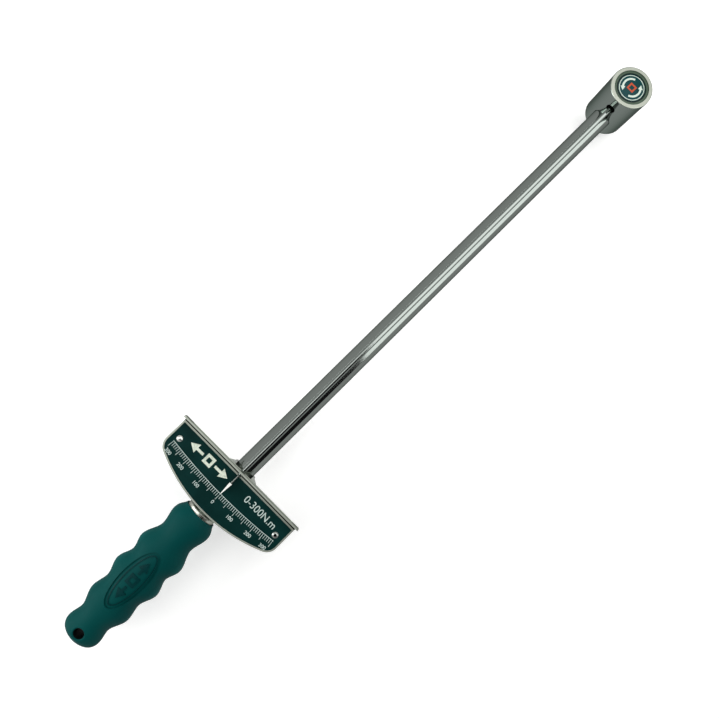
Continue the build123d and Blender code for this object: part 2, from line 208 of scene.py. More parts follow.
bar_chrome, *_ = polished_chrome(
    "chromed_drawn_bar", BAR_CHROME, roughness=0.07,
    wave_mm=9.0, wave_depth_mm=0.006, line_mm=0.7, line_depth_mm=0.0012)
dress(bar_chrome, "beam")
rod_chrome, *_ = polished_chrome(
    "chromed_thin_rod", BAR_CHROME, roughness=0.07,
    wave_mm=6.0, wave_depth_mm=0.003, line_mm=0.5, line_depth_mm=0.0008)
dress(rod_chrome, "pointer_rod")
collar_chrome, *_ = polished_chrome(
    "chromed_turned_collar", COLLAR_CHROME, roughness=0.22,
    wave_mm=8.0, wave_depth_mm=0.004, line_mm=1.0, line_depth_mm=0.0005)
dress(collar_chrome, "grip_collar")

# %% [markdown]
# The head is one forging, and its top rim was faced on a lathe before plating. So the rim shows
# fine turned rings and a paler, more satin tone than the barrel. Height decides which finish shows.

# %% Head finish
RIM_BAND = 0.35 * MM
RIM_BAND_FULL = RIM_BAND / 3
RING_PITCH_MM = 0.35
RING_DEPTH = 0.002 * MM
BARREL_CHROME = "9FA9A3"
RIM_CHROME = "ADB2A6"
RIM_ROUGHNESS = 0.34

head_chrome, tree, shader, place = polished_chrome(
    "chromed_forging_with_faced_rim", BARREL_CHROME, roughness=0.1,
    wave_mm=7.0, wave_depth_mm=0.02, line_mm=1.2, line_depth_mm=0.001)
axes = add_node(tree, "ShaderNodeSeparateXYZ", {0: place})
rim_share = add_node(tree, "ShaderNodeMapRange", {
    "Value": axes.outputs["Z"],
    "From Min": head_high.z - RIM_BAND, "From Max": head_high.z - RIM_BAND_FULL})
flat_place = add_node(tree, "ShaderNodeVectorMath", {0: place, 1: (1, 1, 0)}, operation="MULTIPLY")
radius = add_node(
    tree, "ShaderNodeVectorMath", {0: flat_place}, operation="LENGTH").outputs["Value"]
turns = add_node(tree, "ShaderNodeMath", {
    0: radius, 1: per_metre(RING_PITCH_MM) * 2 * math.pi}, operation="MULTIPLY")
rings = add_node(tree, "ShaderNodeMath", {0: turns}, operation="SINE")
turned = add_node(tree, "ShaderNodeMath", {0: rings, 1: rim_share}, operation="MULTIPLY")
tone = add_node(tree, "ShaderNodeMix", {
    SHARE: rim_share, TONE_A: colour(BARREL_CHROME), TONE_B: colour(RIM_CHROME)}, data_type="RGBA")
haze = add_node(tree, "ShaderNodeMix", {
    SHARE: rim_share, NUMBER_A: shader.inputs["Roughness"].links[0].from_socket,
    NUMBER_B: RIM_ROUGHNESS})
relief = add_node(tree, "ShaderNodeBump", {
    "Height": turned, "Distance": RING_DEPTH,
    "Normal": shader.inputs["Normal"].links[0].from_socket})
fill(tree, shader, {"Base Color": tone.outputs[TONE], "Roughness": haze, "Normal": relief})
dress(head_chrome, "head")

# %% [markdown]
# Sheet, strip, pins and rivets are plated or plain metal that nobody polished, so their mirror is
# soft. Rolled and cut metal has short random marks in every direction, which a noise on the
# roughness and a very shallow relief give.

# %% Satin metal
CLOUD_TO_GRAIN = 12


def satin_metal(name, code, roughness, grain_mm=0.8, depth_mm=0.002, spread=0.12):
    """Metal with a soft mirror, a fine grain and broad clouds in its gloss."""
    material, tree, shader, place = new_material(name, Metallic=1.0, Base_Color=colour(code))
    grain = add_node(tree, "ShaderNodeTexNoise", {
        "Vector": place, "Scale": per_metre(grain_mm), "Detail": 4.0, "Roughness": 0.6})
    clouds = add_node(tree, "ShaderNodeTexNoise", {
        "Vector": place, "Scale": per_metre(grain_mm * CLOUD_TO_GRAIN), "Detail": 2.0})
    both = add_node(tree, "ShaderNodeMath", {0: grain, 1: clouds}, operation="MULTIPLY")
    haze = add_node(tree, "ShaderNodeMapRange", {
        "Value": both, "From Min": 0.1, "From Max": 0.45,
        "To Min": roughness - spread / 2, "To Max": roughness + spread / 2})
    relief = add_node(tree, "ShaderNodeBump", {"Height": grain, "Distance": depth_mm * MM})
    fill(tree, shader, {"Roughness": haze, "Normal": relief})
    return material, tree, shader, place


zinc_strip, *_ = satin_metal(
    "zinc_plated_strip", "C4C7C2", roughness=0.5, grain_mm=1.6, depth_mm=0.004)
dress(zinc_strip, "saddle_strap")
pin_steel, *_ = satin_metal("ground_steel_pin", "A4A5A6", roughness=0.3, grain_mm=0.6)
dress(pin_steel, "saddle_pin", "beam_dowel", "pointer_root_pin")
ball_steel, *_ = satin_metal(
    "polished_bearing_ball", "C9CACC", roughness=0.09, grain_mm=0.5, depth_mm=0.0005, spread=0.04)
dress(ball_steel, "detent_ball")
spring_wire, *_ = satin_metal(
    "drawn_spring_wire", "8E8F90", roughness=0.3, grain_mm=0.4, depth_mm=0.001)
dress(spring_wire, "detent_spring")
solid_rivet, *_ = satin_metal("set_aluminium_rivet", "E2E5DF", roughness=0.3, grain_mm=0.5)
dress(solid_rivet, "face_rivet_solid")

# %% [markdown]
# The rivet at the other end is a tube whose rim was rolled over, so it has an open eye. The eye is painted black
# as shade, because no light comes back out of a deep, narrow hole. The distance from the rivet's axis tells the
# eye from the rim.

# %% Open rivet
EYE_RADIUS = 0.95 * MM
RIVET_STEEL = "A9AEA9"
EYE_PAINTED_SHADE = "0C1212"

eye_low, eye_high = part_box("face_rivet_tubular")
eye = (eye_low + eye_high) / 2
rolled_rim, tree, shader, place = satin_metal(
    "rolled_steel_rivet", RIVET_STEEL, roughness=0.36, grain_mm=0.5)
from_eye = add_node(tree, "ShaderNodeMapping", {
    "Vector": place, "Location": (-eye.x, -eye.y, 0), "Scale": (1, 1, 0)})
radius = add_node(
    tree, "ShaderNodeVectorMath", {0: from_eye}, operation="LENGTH").outputs["Value"]
# Painted shade: inside the eye the rivet is coloured near black.
eye_shade_mask = add_node(tree, "ShaderNodeMath", {0: radius, 1: EYE_RADIUS}, operation="LESS_THAN")
tone = add_node(tree, "ShaderNodeMix", {
    SHARE: eye_shade_mask, TONE_A: colour(RIVET_STEEL), TONE_B: colour(EYE_PAINTED_SHADE)}, data_type="RGBA")
fill(tree, shader, {"Base Color": tone.outputs[TONE]})
dress(rolled_rim, "face_rivet_tubular")

# %% [markdown]
# The scale plate is stamped sheet with satin chrome. A dark line of painted shade runs along the bend of the
# upturned flange, where the inside corner lies in shade. A band along X, cut off above the sheet, gives that line.
# The strap's rivets are flush and were plated with the plate, so they have the same finish.

# %% Scale plate
BEND_LINE_BEHIND_FRONT = 2.5 * MM
BEND_LINE_SOLID = 0.294 * MM
BEND_LINE_GONE = 0.504 * MM
BEND_LINE_TOP = 2.4 * MM
BEND_LINE_BELOW_FACE = 0.2 * MM
BEND_PAINTED_SHADE = "1E2420"
PLATE_CHROME = "ACB2A7"

plate_chrome, tree, shader, place = satin_metal(
    "satin_chrome_on_stamped_sheet", PLATE_CHROME, roughness=0.52)
axes = add_node(tree, "ShaderNodeSeparateXYZ", {0: place})
off_line = add_node(tree, "ShaderNodeMath", {
    0: axes.outputs["X"], 1: plate_high.x - BEND_LINE_BEHIND_FRONT}, operation="SUBTRACT")
distance = add_node(tree, "ShaderNodeMath", {0: off_line}, operation="ABSOLUTE")
near = add_node(tree, "ShaderNodeMapRange", {
    "Value": distance, "From Min": BEND_LINE_SOLID, "From Max": BEND_LINE_GONE,
    "To Min": 1.0, "To Max": 0.0})
above_floor = add_node(tree, "ShaderNodeMath", {
    0: axes.outputs["Z"], 1: face_low.z - BEND_LINE_BELOW_FACE}, operation="GREATER_THAN")
below_top = add_node(tree, "ShaderNodeMath", {
    0: axes.outputs["Z"], 1: plate_low.z + BEND_LINE_TOP}, operation="LESS_THAN")
in_height = add_node(tree, "ShaderNodeMath", {0: above_floor, 1: below_top}, operation="MULTIPLY")
# Painted shade: a dark line along the inside corner of the flange's bend.
bend_shade_mask = add_node(tree, "ShaderNodeMath", {0: near, 1: in_height}, operation="MULTIPLY")
tone = add_node(tree, "ShaderNodeMix", {
    SHARE: bend_shade_mask, TONE_A: colour(PLATE_CHROME), TONE_B: colour(BEND_PAINTED_SHADE)}, data_type="RGBA")
fill(tree, shader, {"Base Color": tone.outputs[TONE], "Specular Tint": colour(CHROME_EDGE)})
dress(plate_chrome, "scale_plate", "saddle_rivets")

# %% [markdown]
# The pointer's tip has a white coat, and its white is a painted highlight: it stands for the bright reflection
# that the tip's flat top shows. The coat is a dielectric with a clear gloss, thicker towards the point where the
# drop hung.

# %% Tip coat, white as a painted highlight
RUN_STRETCH = (0.3, 1, 1)
RUN_MM = 1.5
RUN_DEPTH = 0.01 * MM

# Painted highlight: the tip is coloured white to stand for the bright reflection on its top.
tip_white_highlight, tree, shader, place = new_material("white_tip_painted_highlight", Base_Color=colour("F4F5EF"))
along = add_node(tree, "ShaderNodeMapping", {"Vector": place, "Scale": RUN_STRETCH})
runs = add_node(tree, "ShaderNodeTexNoise", {
    "Vector": along, "Scale": per_metre(RUN_MM), "Detail": 1.0})
relief = add_node(tree, "ShaderNodeBump", {"Height": runs, "Distance": RUN_DEPTH})
haze = add_node(tree, "ShaderNodeMapRange", {
    "Value": runs, "From Min": 0.3, "From Max": 0.7, "To Min": 0.18, "To Max": 0.32})
fill(tree, shader, {"Roughness": haze, "Normal": relief})
dress(tip_white_highlight, "pointer_tip")

# %% [markdown]
# The face is aluminium sheet, enamelled dark teal and baked. Enamel has a fine orange peel, and
# handling leaves it a little paler in clouds. The gloss is low, because the print has to be read
# under a workshop lamp.

# %% Face enamel
HANDLING_MM = 14
PEEL_MM = 0.9
PEEL_DEPTH = 0.004 * MM

enamel, tree, shader, place = new_material("dark_teal_baked_enamel", Specular_IOR_Level=0.05)
clouds = add_node(tree, "ShaderNodeTexNoise", {
    "Vector": place, "Scale": per_metre(HANDLING_MM), "Detail": 3.0})
peel = add_node(tree, "ShaderNodeTexNoise", {
    "Vector": place, "Scale": per_metre(PEEL_MM), "Detail": 1.0})
share = add_node(tree, "ShaderNodeMapRange", {
    "Value": clouds, "From Min": 0.35, "From Max": 0.65})
tone = add_node(tree, "ShaderNodeMix", {
    SHARE: share, TONE_A: colour("032422"), TONE_B: colour("052B29")}, data_type="RGBA")
haze = add_node(tree, "ShaderNodeMapRange", {
    "Value": clouds, "From Min": 0.3, "From Max": 0.7, "To Min": 0.36, "To Max": 0.48})
relief = add_node(tree, "ShaderNodeBump", {"Height": peel, "Distance": PEEL_DEPTH})
fill(tree, shader, {"Base Color": tone.outputs[TONE], "Roughness": haze, "Normal": relief})
dress(enamel, "dial_face")

# %% [markdown]
# The grip is polypropylene, moulded in a tool with a spark-eroded skin: a fine, even pebble that scatters the
# light. Hands polish the crests of the grooves, so the plastic is a little smoother and paler there. Pointiness is
# not used, because it depends on how finely the mesh is cut. The distance from the grip's axis says the same
# thing. The tool opened at the height of the beam, and left a fine parting line there. The wall of the hanging
# hole is painted near black as shade, because no light reaches it.

# %% Grip plastic
PEBBLE_MM = 0.45
PEBBLE_DEPTH = 0.03 * MM
FLOW_MM = 22
FLOW_STRETCH = (0.4, 1, 1)
CREST_POLISH = 0.08
CREST_FROM = 12.5 * MM
CREST_TO = 16.5 * MM

grip_plastic, tree, shader, place = new_material(
    "teal_moulded_polypropylene", Specular_IOR_Level=0.06)
pebble = add_node(tree, "ShaderNodeTexVoronoi", {
    "Vector": place, "Scale": per_metre(PEBBLE_MM)}, feature="SMOOTH_F1")
along = add_node(tree, "ShaderNodeMapping", {"Vector": place, "Scale": FLOW_STRETCH})
flow = add_node(tree, "ShaderNodeTexNoise", {
    "Vector": along, "Scale": per_metre(FLOW_MM), "Detail": 3.0})
axes = add_node(tree, "ShaderNodeSeparateXYZ", {0: place})
side = add_node(tree, "ShaderNodeMath", {0: axes.outputs["Y"]}, operation="ABSOLUTE")
crest = add_node(tree, "ShaderNodeMapRange", {
    "Value": side, "From Min": CREST_FROM, "From Max": CREST_TO})
streak = add_node(tree, "ShaderNodeMapRange", {"Value": flow, "From Min": 0.3, "From Max": 0.7})
shade = add_node(tree, "ShaderNodeMix", {
    SHARE: streak, TONE_A: colour("003D3C"), TONE_B: colour("004442")}, data_type="RGBA")
tone = add_node(tree, "ShaderNodeMix", {
    SHARE: crest, TONE_A: shade.outputs[TONE], TONE_B: colour("024E4C")}, data_type="RGBA")
haze = add_node(tree, "ShaderNodeMapRange", {
    "Value": flow, "From Min": 0.3, "From Max": 0.7, "To Min": 0.5, "To Max": 0.6})
worn = add_node(tree, "ShaderNodeMath", {
    0: crest, 1: -CREST_POLISH, 2: haze}, operation="MULTIPLY_ADD")
relief = add_node(tree, "ShaderNodeBump", {"Height": pebble, "Distance": PEBBLE_DEPTH})
fill(tree, shader, {"Base Color": tone.outputs[TONE], "Roughness": worn, "Normal": relief})

# %% Parting line and hole
PARTING_LINE = 0.16 * MM
PARTING_STEP = 0.05 * MM
HOLE_SKIN = 0.15 * MM

hole = named(frame["record"]["mounts"], "hang_hole")
hole_x, hole_y, _ = hole["pos_m"]
hole_radius = hole["dims"]["r_mm"] * MM
print("hanging hole at", round(hole_x / MM, 1), "radius", round(hole_radius / MM, 2))

on_line = add_node(tree, "ShaderNodeMath", {
    0: axes.outputs["Z"], 1: beam_z, 2: PARTING_LINE}, operation="COMPARE")
flash = add_node(tree, "ShaderNodeMix", {
    SHARE: on_line, TONE_A: tone.outputs[TONE], TONE_B: colour("022426")}, data_type="RGBA")
from_hole = add_node(tree, "ShaderNodeMapping", {
    "Vector": place, "Location": (-hole_x, -hole_y, 0), "Scale": (1, 1, 0)})
radius = add_node(
    tree, "ShaderNodeVectorMath", {0: from_hole}, operation="LENGTH").outputs["Value"]
# Painted shade: the hanging hole's wall and a thin ring round its mouth are coloured near black.
hole_shade_mask = add_node(tree, "ShaderNodeMath", {
    0: radius, 1: hole_radius + HOLE_SKIN}, operation="LESS_THAN")
tone = add_node(tree, "ShaderNodeMix", {
    SHARE: hole_shade_mask, TONE_A: flash.outputs[TONE], TONE_B: colour("030707")}, data_type="RGBA")
edge = add_node(tree, "ShaderNodeBump", {
    "Height": on_line, "Distance": PARTING_STEP, "Normal": relief})
fill(tree, shader, {"Base Color": tone.outputs[TONE], "Normal": edge})
dress(grip_plastic, "grip")

# %% [markdown]
# The badge is a printed disc under clear resin. A dark teal field lies inside a dark line and a grey-green border,
# so the distance from the disc's middle decides the colour. The line and the border are partly the disc's print
# and partly painted shade, cast by the wall of the recess that the disc sits in. Its own design follows as raised
# print.

# %% Badge disc
BADGE_BORDER_AND_SHADE_FROM = 9.9 * MM
BADGE_LINE_AND_SHADE_FROM = 8.9 * MM
BLOOM_MM = 5
RIPPLE_MM = 3
RIPPLE_DEPTH = 0.01 * MM

badge_resin, tree, shader, place = new_material(
    "printed_disc_under_resin", Roughness=0.16, Specular_IOR_Level=0.14)
flat_place = add_node(tree, "ShaderNodeVectorMath", {0: place, 1: (1, 1, 0)}, operation="MULTIPLY")
radius = add_node(
    tree, "ShaderNodeVectorMath", {0: flat_place}, operation="LENGTH").outputs["Value"]
bloom = add_node(tree, "ShaderNodeTexNoise", {
    "Vector": place, "Scale": per_metre(BLOOM_MM), "Detail": 2.0})
field = add_node(tree, "ShaderNodeMix", {
    SHARE: bloom, TONE_A: colour("06383A"), TONE_B: colour("0A4547")}, data_type="RGBA")
# The dark line and the grey-green border: print, and painted shade of the recess wall.
line_and_recess_shade = add_node(tree, "ShaderNodeMath", {
    0: radius, 1: BADGE_LINE_AND_SHADE_FROM}, operation="GREATER_THAN")
border_and_recess_shade = add_node(tree, "ShaderNodeMath", {
    0: radius, 1: BADGE_BORDER_AND_SHADE_FROM}, operation="GREATER_THAN")
inner = add_node(tree, "ShaderNodeMix", {
    SHARE: line_and_recess_shade, TONE_A: field.outputs[TONE], TONE_B: colour("0A1E1C")}, data_type="RGBA")
tone = add_node(tree, "ShaderNodeMix", {
    SHARE: border_and_recess_shade, TONE_A: inner.outputs[TONE], TONE_B: colour("4A5B4C")}, data_type="RGBA")
ripple = add_node(tree, "ShaderNodeTexNoise", {
    "Vector": place, "Scale": per_metre(RIPPLE_MM), "Detail": 0.0})
relief = add_node(tree, "ShaderNodeBump", {"Height": ripple, "Distance": RIPPLE_DEPTH})
fill(tree, shader, {"Base Color": tone.outputs[TONE], "Normal": relief})
dress(badge_resin, "head_badge")

# %% [markdown]
# New pieces are built with bmesh, Blender's mesh kernel for scripts. One function turns a bmesh
# into an object. A second first merges the mesh's doubles and turns its faces outwards, and then
# lets the object ride on a body of the model.

# %% Helpers that finish a piece
SAME_SPOT = 0.002 * MM


def object_of(name, bm, material):
    """Makes an object of a bmesh, in place in the shared frame."""
    mesh = bpy.data.meshes.new(name)
    bm.to_mesh(mesh)
    bm.free()
    mesh.materials.append(material)
    made = bpy.data.objects.new(name, mesh)
    bpy.context.scene.collection.objects.link(made)
    return made


def finished(name, bm, material, body="frame", smooth=False):
    """Makes a clean piece of a bmesh and lets it ride on a body."""
    bmesh.ops.remove_doubles(bm, verts=bm.verts, dist=SAME_SPOT)
    bmesh.ops.recalc_face_normals(bm, faces=bm.faces)
    for face in bm.faces:
        face.smooth = smooth
    piece = object_of(name, bm, material)
    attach(piece, body)
    print(name, len(piece.data.polygons), "faces")
    return piece


# %% [markdown]
# Printing and moulded relief start flat. Each is drawn on the plane, laid on the surface that
# carries it by a ray from above, and raised to its real thickness, so it has sides as ink has.

# %% Helpers for print and relief
RAY_START_Z = cad_high.z + MM
DOWN = (0, 0, -1)


def top_of(node, x, y):
    """Height of a CAD node's upper surface at a place, or None where a ray misses it."""
    hit, spot, _, _ = frame["nodes"][node].ray_cast((x, y, RAY_START_Z), DOWN)
    return spot.z if hit else None


def laid_on(bm, node, sunk):
    """Drops a flat mesh on a CAD node from above and sinks it a little into it."""
    for vert in bm.verts:
        top = top_of(node, vert.co.x, vert.co.y)
        if top is not None:
            vert.co.z = top - sunk


def raised(bm, thickness):
    """Gives flat printing its thickness, upwards."""
    flat = bmesh.ops.extrude_face_region(bm, geom=bm.faces[:], use_keep_orig=True)
    tops = [item for item in flat["geom"] if isinstance(item, bmesh.types.BMVert)]
    bmesh.ops.translate(bm, verts=tops, vec=(0, 0, thickness))


def bar(bm, place, length, width):
    """Flat bar along the place's Y."""
    shape = place @ Matrix.Diagonal((width, length, 1, 1))
    bmesh.ops.create_grid(bm, x_segments=1, y_segments=1, size=0.5, matrix=shape)


def arrow_head(bm, place, length, width):
    """Flat triangle along the place's Y: a circle of three points, 1.5 high and root 3 wide."""
    base_up = Matrix.Translation((0, 0.5, 0))
    shape = place @ Matrix.Diagonal((width / math.sqrt(3), length / 1.5, 1, 1)) @ base_up
    bmesh.ops.create_circle(bm, cap_ends=True, segments=3, radius=1, matrix=shape)


def swept(bm, places, middle, angle, steps):
    """Flat curved band: an edge between two places, spun about a middle."""
    ends = [bm.verts.new(place.translation) for place in places]
    line = bm.edges.new(ends)
    bmesh.ops.spin(bm, geom=[*ends, line], cent=middle, axis=(0, 0, 1),
        angle=angle, steps=steps, use_merge=False)


def ring(bm, place, line, corners, radius=1.0):
    """Flat ring: a polygon is inset and its middle taken out."""
    made = bmesh.ops.create_circle(
        bm, cap_ends=True, segments=corners, radius=radius, matrix=place)
    middle = made["verts"][0].link_faces[0]
    bmesh.ops.inset_region(
        bm, faces=[middle], thickness=line, use_boundary=True, use_even_offset=True)
    bmesh.ops.delete(bm, geom=[middle], context="FACES_ONLY")


# %% [markdown]
# The spring behind the socket ball shortens when the ball goes in, which a rigid node can't. A merged copy of it,
# with a mesh of its own, stands in its place.

bm = bmesh.new()
bm.from_mesh(frame["nodes"]["detent_spring"].data)
spring = finished("detent_spring_live", bm, spring_wire, smooth=True)
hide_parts("detent_spring")
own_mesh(spring)

# %% [markdown]
# A thin disc low in the tube closes the open rivet's eye, so nothing shows through it. It takes the rivet's
# material, whose painted shade colours it black.

# %% Bottom of the rivet's eye
EYE_FLOOR_RADIUS = 0.84 * MM
EYE_FLOOR_LIFT = 0.5 * MM
EYE_FLOOR_THICKNESS = 0.3 * MM
EYE_FLOOR_CORNERS = 32

bm = bmesh.new()
place_of_floor = Matrix.Translation((eye.x, eye.y, eye_low.z + EYE_FLOOR_LIFT))
bmesh.ops.create_circle(
    bm, cap_ends=True, segments=EYE_FLOOR_CORNERS, radius=EYE_FLOOR_RADIUS,
    matrix=place_of_floor)
raised(bm, EYE_FLOOR_THICKNESS)
finished("face_rivet_eye_shade_disc", bm, rolled_rim)

# %% [markdown]
# The scale is screen-printed: a baseline arc, a tick for each 10 N.m and a longer one for each 50.
# All of it is centred on the pointer's root, so ticks are one flat bar, turned about the root in a
# loop, and a short edge spun about the root sweeps the arc. The ink stands 0.03 mm proud. Screen
# ink lies thinner in places and lets the enamel through, so its tone drifts in small patches.


# %% Printed ink
def patchy_print(name, dark, light, patch_mm, detail, low, high, **values):
    """Printing whose tone drifts between two colours. Low and high pick the noise's share."""
    material, tree, shader, place = new_material(name, **values)
    patches = add_node(tree, "ShaderNodeTexNoise", {
        "Vector": place, "Scale": per_metre(patch_mm), "Detail": detail})
    share = add_node(tree, "ShaderNodeMapRange", {
        "Value": patches, "From Min": low, "From Max": high})
    tone = add_node(tree, "ShaderNodeMix", {
        SHARE: share, TONE_A: colour(dark), TONE_B: colour(light)}, data_type="RGBA")
    fill(tree, shader, {"Base Color": tone.outputs[TONE]})
    return material


INK = 0.03 * MM

ink = patchy_print(
    "white_screen_ink", "A4B8B2", "C9D8D2", patch_mm=1.2, detail=3.0, low=0.3, high=0.6,
    Roughness=0.45, Specular_IOR_Level=0.2)

# %% Scale arc and ticks
GAP_TO_TIP = 0.45 * MM
ARC_LINE = 0.3 * MM
TICK_LINE = 0.28 * MM
TICKS_EACH_WAY = 30
TICKS_TO_A_LONG_ONE = 5
SHORT_TICK = 2.7 * MM
LONG_TICK = 4.4 * MM
ARC_STEPS = 120
ARC_PAST_LAST_TICK = 0.25

scale_radius = root.x - tip_low.x + GAP_TO_TIP
tick_step = full_scale / TICKS_EACH_WAY


def on_scale(angle, radius):
    """Place on the face at an angle and a distance from the root. Its X points to the root."""
    turn = Matrix.Rotation(angle, 4, "Z")
    lift = Matrix.Translation((root.x, root.y, face_high.z))
    return lift @ turn @ Matrix.Translation((-radius, 0, 0))


bm = bmesh.new()
for index in range(-TICKS_EACH_WAY, TICKS_EACH_WAY + 1):
    length = LONG_TICK if index % TICKS_TO_A_LONG_ONE == 0 else SHORT_TICK
    middle = on_scale(index * tick_step, scale_radius + (ARC_LINE + length) / 2)
    bar(bm, middle @ Matrix.Rotation(math.pi / 2, 4, "Z"), length, TICK_LINE)
first = -full_scale - tick_step * ARC_PAST_LAST_TICK
line_ends = [on_scale(first, scale_radius + ARC_LINE / 2),
    on_scale(first, scale_radius - ARC_LINE / 2)]
swept(bm, line_ends, root, 2 * abs(first), ARC_STEPS)
raised(bm, INK)
finished("dial_ticks", bm, ink)
print("ticks", 2 * TICKS_EACH_WAY + 1, "every", round(math.degrees(tick_step), 4), "degrees")

# %% [markdown]
# Numbers are Blender text objects made into meshes. Text is drawn at an unknown height, so it is
# measured, scaled to the real letter height and then put in place. Their tops point to the head.

# %% Lettering helper
LETTER_CURVE_STEPS = 6


def lettering(bm, words, height, place, weight, narrow=1.0):
    """Adds printed words to a bmesh, centred on a place, with their tops towards +X there."""
    curve = bpy.data.curves.new("lettering", "FONT")
    curve.body = words
    curve.align_x = "CENTER"
    curve.offset = weight
    curve.resolution_u = LETTER_CURVE_STEPS
    holder = bpy.data.objects.new("lettering", curve)
    bpy.context.scene.collection.objects.link(holder)
    bpy.context.view_layer.update()
    mesh = bpy.data.meshes.new_from_object(holder)
    bpy.data.objects.remove(holder)
    lows = [min(v.co[k] for v in mesh.vertices) for k in (0, 1)]
    highs = [max(v.co[k] for v in mesh.vertices) for k in (0, 1)]
    middle = Matrix.Translation((-(lows[0] + highs[0]) / 2, -(lows[1] + highs[1]) / 2, 0))
    size = height / (highs[1] - lows[1])
    reading = Matrix.Rotation(-math.pi / 2, 4, "Z")
    mesh.transform(place @ reading @ Matrix.Diagonal((size * narrow, size, 1, 1)) @ middle)
    bm.from_mesh(mesh)
    bpy.data.meshes.remove(mesh)


# %% Scale numbers
NUMBER_HEIGHT = 2.3 * MM
NUMBER_WEIGHT = 0.01
NUMBERS_BEHIND_ARC = 6.5 * MM
UNITS_TO_A_NUMBER = 100
HUNDREDS_EACH_WAY = 3
LAST_NUMBER_TICKS_IN = 2

bm = bmesh.new()
for hundreds in range(-HUNDREDS_EACH_WAY, HUNDREDS_EACH_WAY + 1):
    angle = hundreds / HUNDREDS_EACH_WAY * full_scale
    if abs(hundreds) == HUNDREDS_EACH_WAY:
        angle -= math.copysign(LAST_NUMBER_TICKS_IN * tick_step, angle)
    place = on_scale(angle, scale_radius + NUMBERS_BEHIND_ARC)
    words = str(abs(hundreds) * UNITS_TO_A_NUMBER)
    lettering(bm, words, NUMBER_HEIGHT, place, NUMBER_WEIGHT)
raised(bm, INK)
finished("dial_numbers", bm, ink)

# %% [markdown]
# The range stands on the right half of the face. The left half carries a plain mark that any
# two-way torque tool could have: a double arrow with a square, for the square drive, in its middle.

# %% Range text
RANGE_TEXT = "0-300N.m"
PRINT_AHEAD_OF_TIP = 8.5 * MM
RANGE_HEIGHT = 4.6 * MM
RANGE_Y = -24.9 * MM
RANGE_NARROW = 0.94

print_x = tip_low.x + PRINT_AHEAD_OF_TIP
bm = bmesh.new()
place = Matrix.Translation((print_x, RANGE_Y, face_high.z))
lettering(bm, RANGE_TEXT, RANGE_HEIGHT, place, weight=0.0, narrow=RANGE_NARROW)
raised(bm, INK)
finished("dial_range", bm, ink)

# %% Two-way mark
HEAD_TO_HEIGHT = 0.85


def two_way_mark(bm, place, length, height, line):
    """Flat double arrow along the place's Y, with a square ring in its middle."""
    head = height * HEAD_TO_HEIGHT
    gap = height / 2 + line
    for side in (0, math.pi):
        outwards = place @ Matrix.Rotation(side, 4, "Z")
        shaft = length / 2 - head - gap
        bar(bm, outwards @ Matrix.Translation((0, gap + shaft / 2, 0)), shaft, line)
        arrow_head(bm, outwards @ Matrix.Translation((0, gap + shaft, 0)), head, height)
    square = place @ Matrix.Rotation(math.pi / 4, 4, "Z")
    ring(bm, square, line, 4, height / math.sqrt(2))


FACE_MARK_Y = 19.0 * MM
FACE_MARK_LENGTH = 31 * MM
FACE_MARK_HEIGHT = 6.4 * MM
FACE_MARK_LINE = 1.7 * MM

cream_ink = patchy_print(
    "cream_screen_ink", "BCC8B6", "DCE4D4", patch_mm=1.5, detail=3.0, low=0.3, high=0.6,
    Roughness=0.4, Specular_IOR_Level=0.2)

bm = bmesh.new()
place = Matrix.Translation((print_x, FACE_MARK_Y, face_high.z))
two_way_mark(bm, place, FACE_MARK_LENGTH, FACE_MARK_HEIGHT, FACE_MARK_LINE)
raised(bm, INK)
finished("dial_two_way_mark", bm, cream_ink)

# %% [markdown]
# The badge's design is this notebook's own: a white ring, two curved white arrows that say the tool
# works both ways, and a red-orange square for the drive. A short radial edge, spun about the disc's
# middle, sweeps each arrow's shaft. The disc is domed, so the print is cut finely and laid on it.

# %% Badge print
BADGE_INK = 0.05 * MM
BADGE_CUTS = 2
WHITE_RING_RADIUS = 8.5 * MM
WHITE_RING_LINE = 0.45 * MM
WHITE_RING_CORNERS = 96
ARROW_RADIUS = 5.9 * MM
ARROW_LINE = 1.3 * MM
ARROW_START = math.radians(20)
ARROW_SWEEP = math.radians(105)
ARROW_STEPS = 32
ARROW_HEAD_LENGTH = 2.9 * MM
ARROW_HEAD_WIDTH = 3.2 * MM

badge_top = Matrix.Translation((0, 0, badge_high.z))


def print_on_badge(name, bm, material):
    """Cuts a flat design finely, lays it on the domed disc and gives it thickness."""
    bmesh.ops.triangulate(bm, faces=bm.faces[:])
    bmesh.ops.subdivide_edges(bm, edges=bm.edges[:], cuts=BADGE_CUTS, use_grid_fill=True)
    laid_on(bm, "head_badge", BADGE_INK / 2)
    raised(bm, BADGE_INK)
    finished(name, bm, material)


def on_badge(angle, reach):
    """Place on the disc at an angle and a distance from its middle."""
    return badge_top @ Matrix.Rotation(angle, 4, "Z") @ Matrix.Translation((reach, 0, 0))


badge_white = patchy_print(
    "white_print_under_resin", "C4D6C8", "DCE8DC", patch_mm=0.8, detail=2.0, low=0.0, high=1.0,
    Roughness=0.2, Specular_IOR_Level=0.15)

bm = bmesh.new()
ring(bm, badge_top, WHITE_RING_LINE, WHITE_RING_CORNERS, WHITE_RING_RADIUS)
for start in (ARROW_START, ARROW_START + math.pi):
    line_ends = [on_badge(start, ARROW_RADIUS - ARROW_LINE / 2),
        on_badge(start, ARROW_RADIUS + ARROW_LINE / 2)]
    swept(bm, line_ends, badge_top.translation, ARROW_SWEEP, ARROW_STEPS)
    arrow_head(bm, on_badge(start + ARROW_SWEEP, ARROW_RADIUS), ARROW_HEAD_LENGTH, ARROW_HEAD_WIDTH)
print_on_badge("badge_ring_and_arrows", bm, badge_white)

# %% Badge square
SQUARE_ACROSS = 5.0 * MM
SQUARE_LINE = 1.1 * MM

